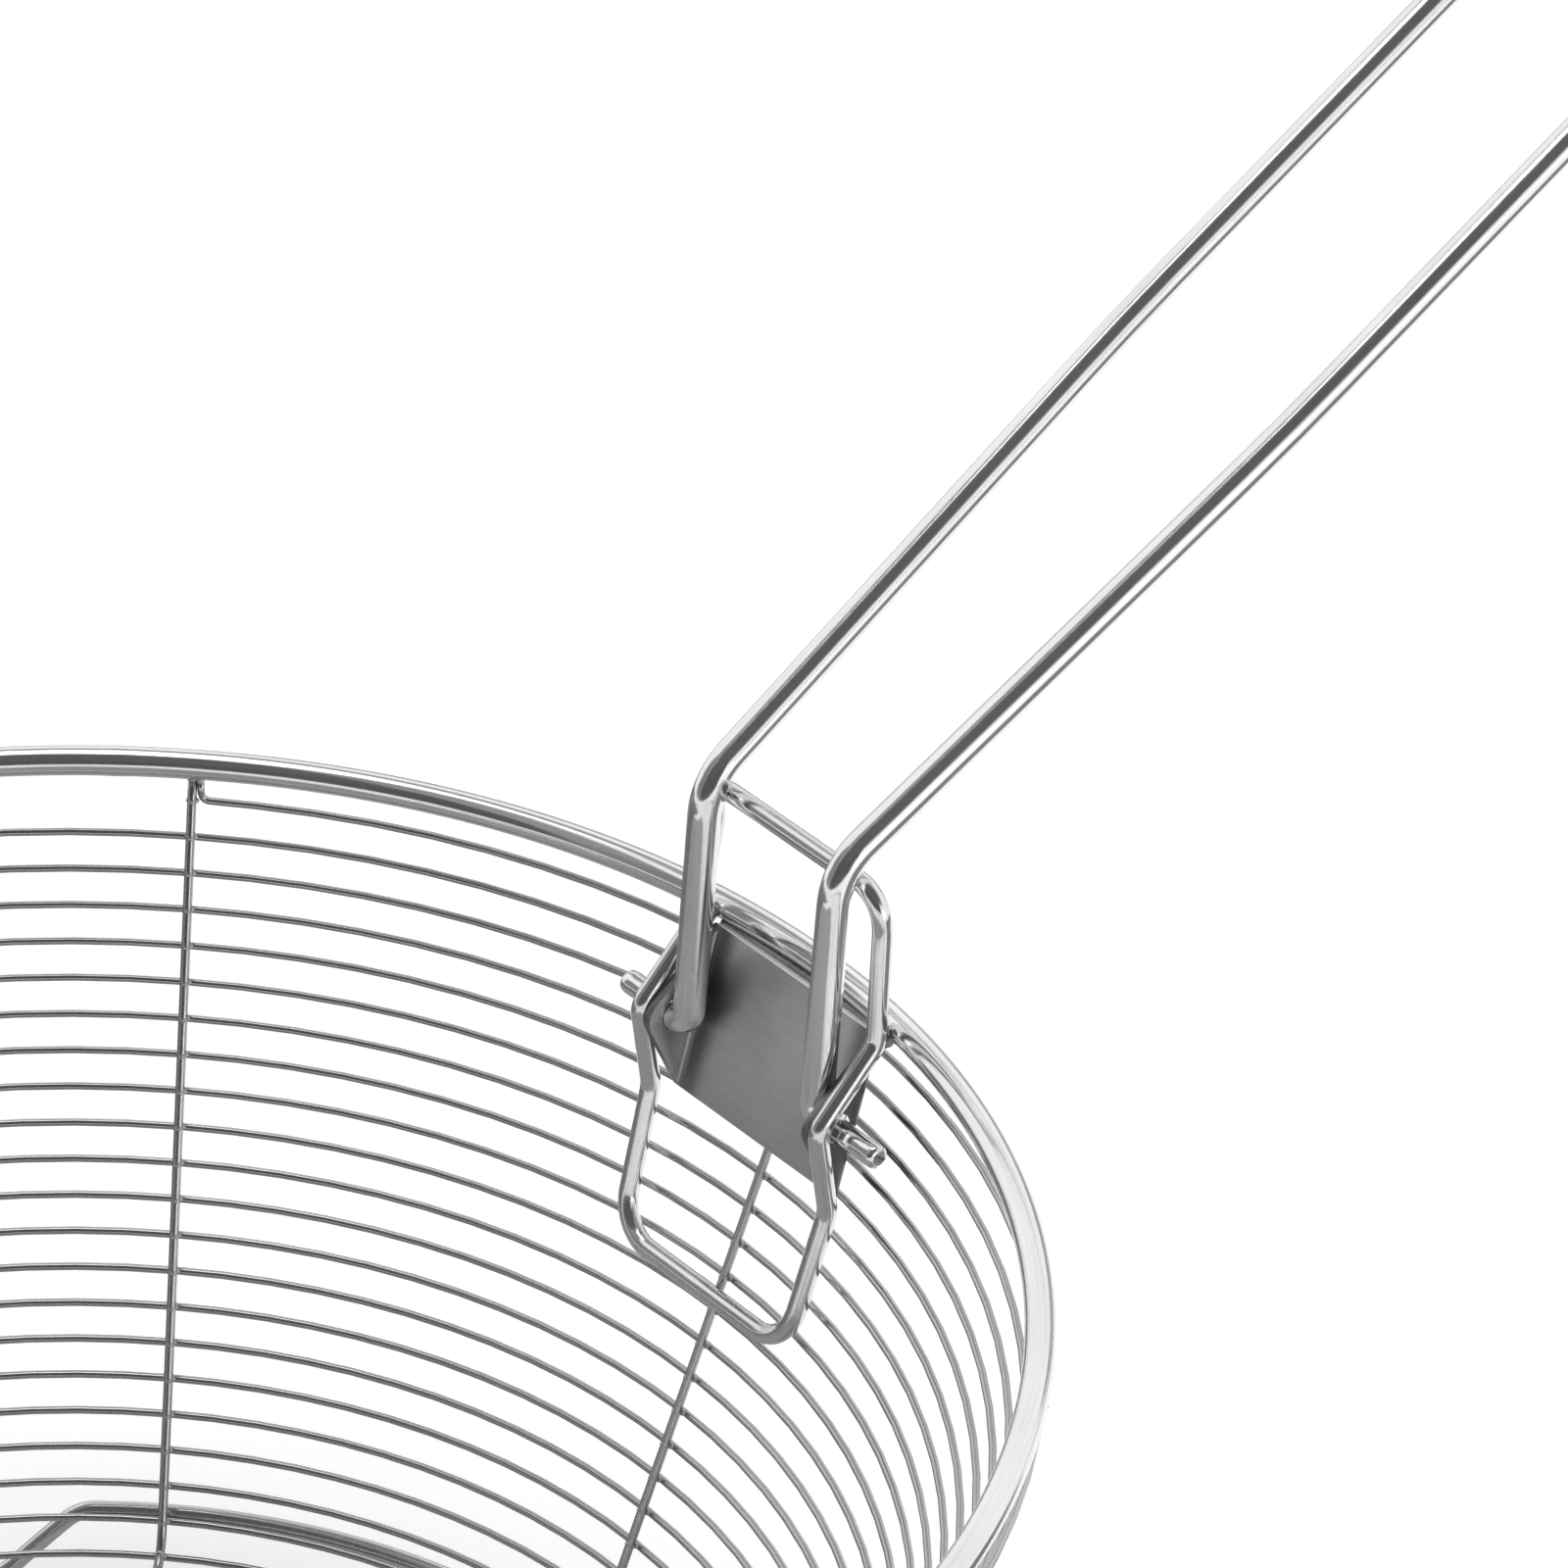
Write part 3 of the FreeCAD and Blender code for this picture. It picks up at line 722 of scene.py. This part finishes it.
BEAD_STEPS = 80
BEAD_HALF = 15.9
BEAD_SINK = 0.06
BEAD_RIPPLES = ((0.07, 4.4, 0), (0.04, 1.9, 1))
edge_inset = PLATE_TOP_INSET - SHEET * math.cos(plate_lean)
edge_drop = PLATE_TOP_DROP + SHEET * math.sin(plate_lean)
bead = []
bead_widths = []
for i in range(BEAD_STEPS + 1):
    side = -BEAD_HALF + 2 * BEAD_HALF * i / BEAD_STEPS
    round_fold = max(0.0, abs(side) - HALF_WIDTH + FOLD)
    rim_inset = RIM_RADIUS - math.sqrt(RIM_RADIUS ** 2 - side ** 2)
    away = edge_inset - rim_inset + FOLD - math.sqrt(FOLD ** 2 - round_fold ** 2)
    lean_in = away * math.cos(plate_lean) - edge_drop * math.sin(plate_lean)
    reach = (away ** 2 + edge_drop ** 2 - (RIM_WIRE / 2) ** 2) / (RIM_WIRE + 2 * lean_in)
    inset = rim_inset + away - reach * math.cos(plate_lean)
    bead.append(at_bracket(inset, side, -edge_drop - reach * math.sin(plate_lean)))
    ripple = 1 + sum(height * math.sin(side * pace + shift) for height, pace, shift in BEAD_RIPPLES)
    bead_widths.append((reach + BEAD_SINK) * ripple)
dress(tube("rim_weld", bead, 1.0, sides=12, widths=bead_widths), STEEL_BEAD_SHADED, "basket", "rim_wire")

# Handle stay, with the seam that closes it in the middle of its lower bar

STAY_WIRE = 2.6
STAY_PLAY = 0.05
STAY_REST = 1.2
STAY_SEAT = 1.75
STAY_TOP_OFFSET = 16.4
STAY_TOP_BEND = 4.2
STAY_NECK_SHIFT = 0.4
STAY_NECK_DROP = 5.5
STAY_NECK_BEND = 6.0
STAY_RIM_GAP = 1.7
STAY_RIM_DROP = 1.0
STAY_RIM_BEND = 3.5
STAY_GAP = 0.3
STAY_PASS_RISE = 1.5
STAY_PASS_BEND = 3.0
STAY_PLATE_GAP = 1.1
STAY_PLATE_BEND = 5.0
STAY_FOOT_INSET = 18.2
STAY_FOOT_OFFSET = 16.5
STAY_FOOT_DROP = 41.5
STAY_FOOT_BEND = 6.0
ROD_SLOPE = math.radians(29.5)
ELBOW_INSET = 7.2
ELBOW_RISE = 22.6

# Weld metal where the stay meets the rim and the ears: inset, distance inside the stay's
# line, drop, and half sizes
STAY_WELDS = (
    (3.3, 0.0, 0.9, (1.3, 1.1, 1.2)),
    (4.2, 1.4, 2.6, (1.0, 0.8, 0.7)),
    (12.2, 1.3, 13.4, (1.1, 0.7, 0.6)),
)
STAY_WELD_ALONG = Vector((0.5, 0, 0.866))


def stay_corners():
    side = HALF_WIDTH + STAY_PLAY + STAY_WIRE / 2
    below = (HANDLE_WIRE + STAY_WIRE) / 2 + STAY_REST
    bar_inset = ELBOW_INSET - STAY_SEAT * math.cos(ROD_SLOPE) - below * math.sin(ROD_SLOPE)
    bar_rise = ELBOW_RISE + STAY_SEAT * math.sin(ROD_SLOPE) - below * math.cos(ROD_SLOPE)
    neck_inset = bar_inset - STAY_NECK_SHIFT
    rim_inset = (RIM_WIRE + STAY_WIRE) / 2 + STAY_RIM_GAP
    pass_inset = PIVOT_INSET + (HANDLE_WIRE + STAY_WIRE) / 2 + STAY_GAP
    plate_inset = PLATE_FOOT_INSET + STAY_WIRE / 2 + STAY_PLATE_GAP
    half = [
        (bar_inset, STAY_TOP_OFFSET, bar_rise, STAY_TOP_BEND),
        (neck_inset, STAY_TOP_OFFSET, bar_rise - STAY_NECK_DROP, STAY_NECK_BEND),
        (rim_inset, side, -STAY_RIM_DROP, STAY_RIM_BEND),
        (pass_inset, side, STAY_PASS_RISE - PIVOT_DROP, STAY_PASS_BEND),
        (plate_inset, side, -PLATE_DROP, STAY_PLATE_BEND),
        (STAY_FOOT_INSET, STAY_FOOT_OFFSET, -STAY_FOOT_DROP, STAY_FOOT_BEND),
    ]
    corners = [at_bracket(inset, offset, rise) for inset, offset, rise, bend in half]
    corners += [at_bracket(inset, -offset, rise) for inset, offset, rise, bend in reversed(half)]
    bends = [bend for inset, offset, rise, bend in half]
    return corners, bends + bends[::-1]


corners, bends = stay_corners()
path = densify(bent_path(corners, bends, closed=True, step=5.0), longest=1.5, closed=True)
seam = at_bracket(STAY_FOOT_INSET, 0, -STAY_FOOT_DROP)
widths = [swelling((spot - seam).length, spread=0.9, height=0.09) for spot in path]
stay = tube("stay_frame", path, STAY_WIRE / 2, sides=18, closed=True, widths=widths)
dress(stay, STEEL_STAY, "basket", "stay_wire", "handle_stay")

stay_welds = []
for hand in (-1, 1):
    for inset, inside, drop, sizes in STAY_WELDS:
        spot = at_bracket(inset, hand * (HALF_WIDTH + STAY_WIRE / 2 - inside), -drop)
        stay_welds.append((spot, Y_AXIS * hand, STAY_WELD_ALONG, sizes))
dress(blobs("stay_welds", stay_welds), STEEL_BEAD_SHADED, "basket", "stay_wire")

# Handle, whose pivot stubs are turned down outside the ears

ROD_LENGTH = 180.0
ROD_SPREAD = 16.05
ELBOW_BEND = 9.0
KNEE_REACH = 78.0
KNEE_BEND = 400.0
END_BEND = 14.0
STUB_REACH = 25.0
STUB_WIDTH = 0.74
STUB_LENGTH = STUB_REACH - HALF_WIDTH - 0.5
WIRE_STARTS = STUB_LENGTH + 0.6

# A stub's rounded end: distance from its tip, and width as a share of the stub's. Its
# shoulder: distance from the stub's length, and width as a share of the wire's.
STUB_END = (
    (0.0, 0.6), (0.12, 0.78), (0.35, 0.95), (0.7, 1.0), (1.5, 1.04),
    (2.2, 1.0), (3.5, 1.0), (5.0, 1.0), (6.5, 1.0),
)
STUB_SHOULDER = ((-0.35, STUB_WIDTH), (-0.2, 0.82), (0.0, 0.98), (0.2, 1.0))


def on_rod(reach, offset):
    """A point along a rod, from the elbow's corner."""
    inset = ELBOW_INSET - reach * math.cos(ROD_SLOPE)
    return at_bracket(inset, offset, ELBOW_RISE + reach * math.sin(ROD_SLOPE))


def handle_path():
    half = [
        at_bracket(PIVOT_INSET, STUB_REACH, -PIVOT_DROP),
        at_bracket(PIVOT_INSET, LEG_OFFSET, -PIVOT_DROP),
        on_rod(0, LEG_OFFSET),
        on_rod(KNEE_REACH, ROD_SPREAD),
        on_rod(ROD_LENGTH, ROD_SPREAD),
    ]
    mirrored = [Vector((spot.x, -spot.y, spot.z)) for spot in reversed(half)]
    radii = [0, LEG_BEND, ELBOW_BEND, KNEE_BEND, END_BEND]
    return densify(bent_path(half + mirrored, radii + radii[::-1], step=5.0), longest=2.5)


path = handle_path()
stub = [(away, width * STUB_WIDTH) for away, width in STUB_END]
stub += [(STUB_LENGTH + away, width) for away, width in STUB_SHOULDER]
first_stub = [path[0] - Y_AXIS * away for away, width in stub]
last_stub = [path[-1] + Y_AXIS * away for away, width in reversed(stub)]
wire = [spot for spot in path if abs(spot.y) < STUB_REACH - WIRE_STARTS]
stub_widths = [width for away, width in stub]
widths = stub_widths + [1.0] * len(wire) + stub_widths[::-1]
whole = first_stub + wire + last_stub
handle = tube("handle_rods", whole, HANDLE_WIRE / 2, sides=24, widths=widths)
dress(handle, STEEL_HANDLE, "handle", "handle_wire", "handle")

# Studio: white floor and background, two soft lamps, and dark and grey cloths and mats
# around the object that only reflections see

WHITE = (1, 1, 1, 1)
BACKGROUND_LIGHT = 0.75
FLOOR_GLOW = 0.35
MAT_LIFT = 0.0002
LAMP_AIM = Vector((0.06, 0, 0.1))

# The camera was fitted to the turns of the wall in the photograph. Its place is in
# millimetres.
CAMERA_AT = Vector((-536.05, -823.46, 805.54))
CAMERA_RIGHT = Vector((0.78455, -0.62006, 0.0))
CAMERA_UP = Vector((0.33526, 0.42420, 0.84122))
CAMERA_LENS = 236.42

scene = bpy.context.scene
scene.view_settings.view_transform = "Standard"
camera_data = bpy.data.cameras.new("camera")
camera_data.lens = CAMERA_LENS
camera_data.sensor_width = 36.0
camera_data.clip_start = 0.05
camera_data.clip_end = 50.0
camera = bpy.data.objects.new("camera", camera_data)
scene.collection.objects.link(camera)
forward = CAMERA_UP.cross(CAMERA_RIGHT).normalized()
turn = Matrix((CAMERA_RIGHT, CAMERA_UP, -forward)).transposed().to_4x4()
camera.matrix_world = Matrix.Translation(CAMERA_AT * MM) @ turn
scene.camera = camera

world = bpy.data.worlds.new("studio")
scene.world = world
world.use_nodes = True
tree = world.node_tree
background = tree.nodes["Background"]
background.inputs["Color"].default_value = WHITE
level = mapped(tree, seen_directly(tree), (0.0, 1.0), (BACKGROUND_LIGHT, 1.0))
tree.links.new(level, background.inputs["Strength"])


def turned_to(facing, axis):
    """The turn that points a card's or a lamp's axis in a direction."""
    return facing.to_track_quat(axis, "Y").to_matrix().to_4x4()


def flat_card(name, width, depth, place, material):
    mesh = bmesh.new()
    bmesh.ops.create_grid(mesh, x_segments=1, y_segments=1, size=0.5)
    piece = finish_mesh(name, mesh)
    piece.data.materials.append(material)
    scale = Matrix.Diagonal((width, depth, 1, 1))
    piece.matrix_world = Matrix.Translation(place) @ turned_to(UP, "Z") @ scale
    return piece


def white_floor():
    """Matt white that shows shadows, and looks a little brighter than its light makes it."""
    material, tree, shader = new_material("floor_white")
    shader.inputs["Base Color"].default_value = (0.8, 0.8, 0.8, 1)
    shader.inputs["Roughness"].default_value = 0.9
    shader.inputs["Specular IOR Level"].default_value = 0.0
    glow = tree.nodes.new("ShaderNodeEmission")
    strength = mapped(tree, seen_directly(tree), (0.0, 1.0), (0.0, FLOOR_GLOW))
    tree.links.new(strength, glow.inputs["Strength"])
    joined = tree.nodes.new("ShaderNodeAddShader")
    tree.links.new(shader.outputs["BSDF"], joined.inputs[0])
    tree.links.new(glow.outputs["Emission"], joined.inputs[1])
    tree.links.new(joined.outputs["Shader"], tree.nodes["Material Output"].inputs["Surface"])
    return material


def even_cloth(name, shade):
    """Cloth of one even tone."""
    material, tree, shader = new_material(name)
    tone = tree.nodes.new("ShaderNodeEmission")
    tone.inputs["Color"].default_value = WHITE
    tone.inputs["Strength"].default_value = shade
    tree.links.new(tone.outputs["Emission"], tree.nodes["Material Output"].inputs["Surface"])
    return material


def reflections_only(piece):
    piece.visible_camera = False
    piece.visible_diffuse = False
    piece.visible_shadow = False
    piece.visible_transmission = False


def direction(degrees, elevation):
    level = math.cos(math.radians(elevation))
    return polar(level, degrees, math.sin(math.radians(elevation)))


def cloth_dome(name, towards, spread, radius, shade, lowest, highest=90):
    """Cloth: part of a sphere round a direction, between two elevations."""
    mesh = bmesh.new()
    bmesh.ops.create_uvsphere(mesh, u_segments=96, v_segments=48, radius=radius)
    limit = math.cos(math.radians(spread))
    bottom = radius * math.sin(math.radians(lowest))
    ceiling = radius * math.sin(math.radians(highest)) + 0.001
    away = [
        vert for vert in mesh.verts
        if vert.co.normalized().dot(towards) < limit or not bottom <= vert.co.z <= ceiling
    ]
    bmesh.ops.delete(mesh, geom=away, context="VERTS")
    piece = finish_mesh(name, mesh)
    piece.data.materials.append(even_cloth(name + "_tone", shade))
    reflections_only(piece)


def mat(name, width, depth, x, y, shade, turn=0.0):
    """A mat on the floor."""
    tone = even_cloth(name + "_tone", shade)
    card = flat_card(name, width, depth, Vector((x, y, MAT_LIFT)), tone)
    card.matrix_world = card.matrix_world @ Matrix.Rotation(math.radians(turn), 4, "Z")
    reflections_only(card)


def soft_lamp(name, place, width, height, power):
    data = bpy.data.lights.new(name, "AREA")
    data.shape = "RECTANGLE"
    data.size = width
    data.size_y = height
    data.energy = power
    lamp = bpy.data.objects.new(name, data)
    scene.collection.objects.link(lamp)
    lamp.matrix_world = Matrix.Translation(place) @ turned_to(LAMP_AIM - place, "-Z")


flat_card("floor", 12.0, 12.0, Vector((0, 0, 0)), white_floor())
cloth_dome("dark_cloth", direction(-122, 48), spread=38, radius=2.5, shade=0.12, lowest=33)
cloth_dome("dark_cloth_low", direction(-146, 22), spread=44, radius=2.55, shade=0.1, lowest=2)
cloth_dome("grey_cloth", direction(-130, 52), spread=56, radius=2.7, shade=0.31, lowest=24)
cloth_dome("grey_cloth_left", direction(170, 20), spread=44, radius=2.75, shade=0.24, lowest=2)
cloth_dome("grey_cloth_above", direction(57, 62), spread=22, radius=2.85, shade=0.35, lowest=24)
cloth_dome(
    "grey_band_right", direction(27, 5), spread=26, radius=2.8, shade=0.16, lowest=0.3, highest=13,
)
mat("grey_mat_right", width=0.46, depth=0.32, x=0.38, y=-0.26, shade=0.24)
mat("grey_mat_far", width=0.6, depth=0.34, x=0.08, y=0.33, shade=0.16)
mat("grey_mat_beyond", width=1.7, depth=1.3, x=1.35, y=0.75, shade=0.2, turn=30.0)
mat("grey_mat_under", width=0.34, depth=0.34, x=-0.04, y=0.0, shade=0.36)
mat("dark_mat_back", width=1.1, depth=0.42, x=-0.48, y=0.52, shade=0.2, turn=-42.0)
soft_lamp("lamp_front", Vector((0.16, -0.97, 0.11)) * 1.9, width=0.8, height=0.42, power=2.6)
soft_lamp("lamp_top", Vector((0.3, 0.5, 2.2)), width=1.2, height=1.2, power=9.0)

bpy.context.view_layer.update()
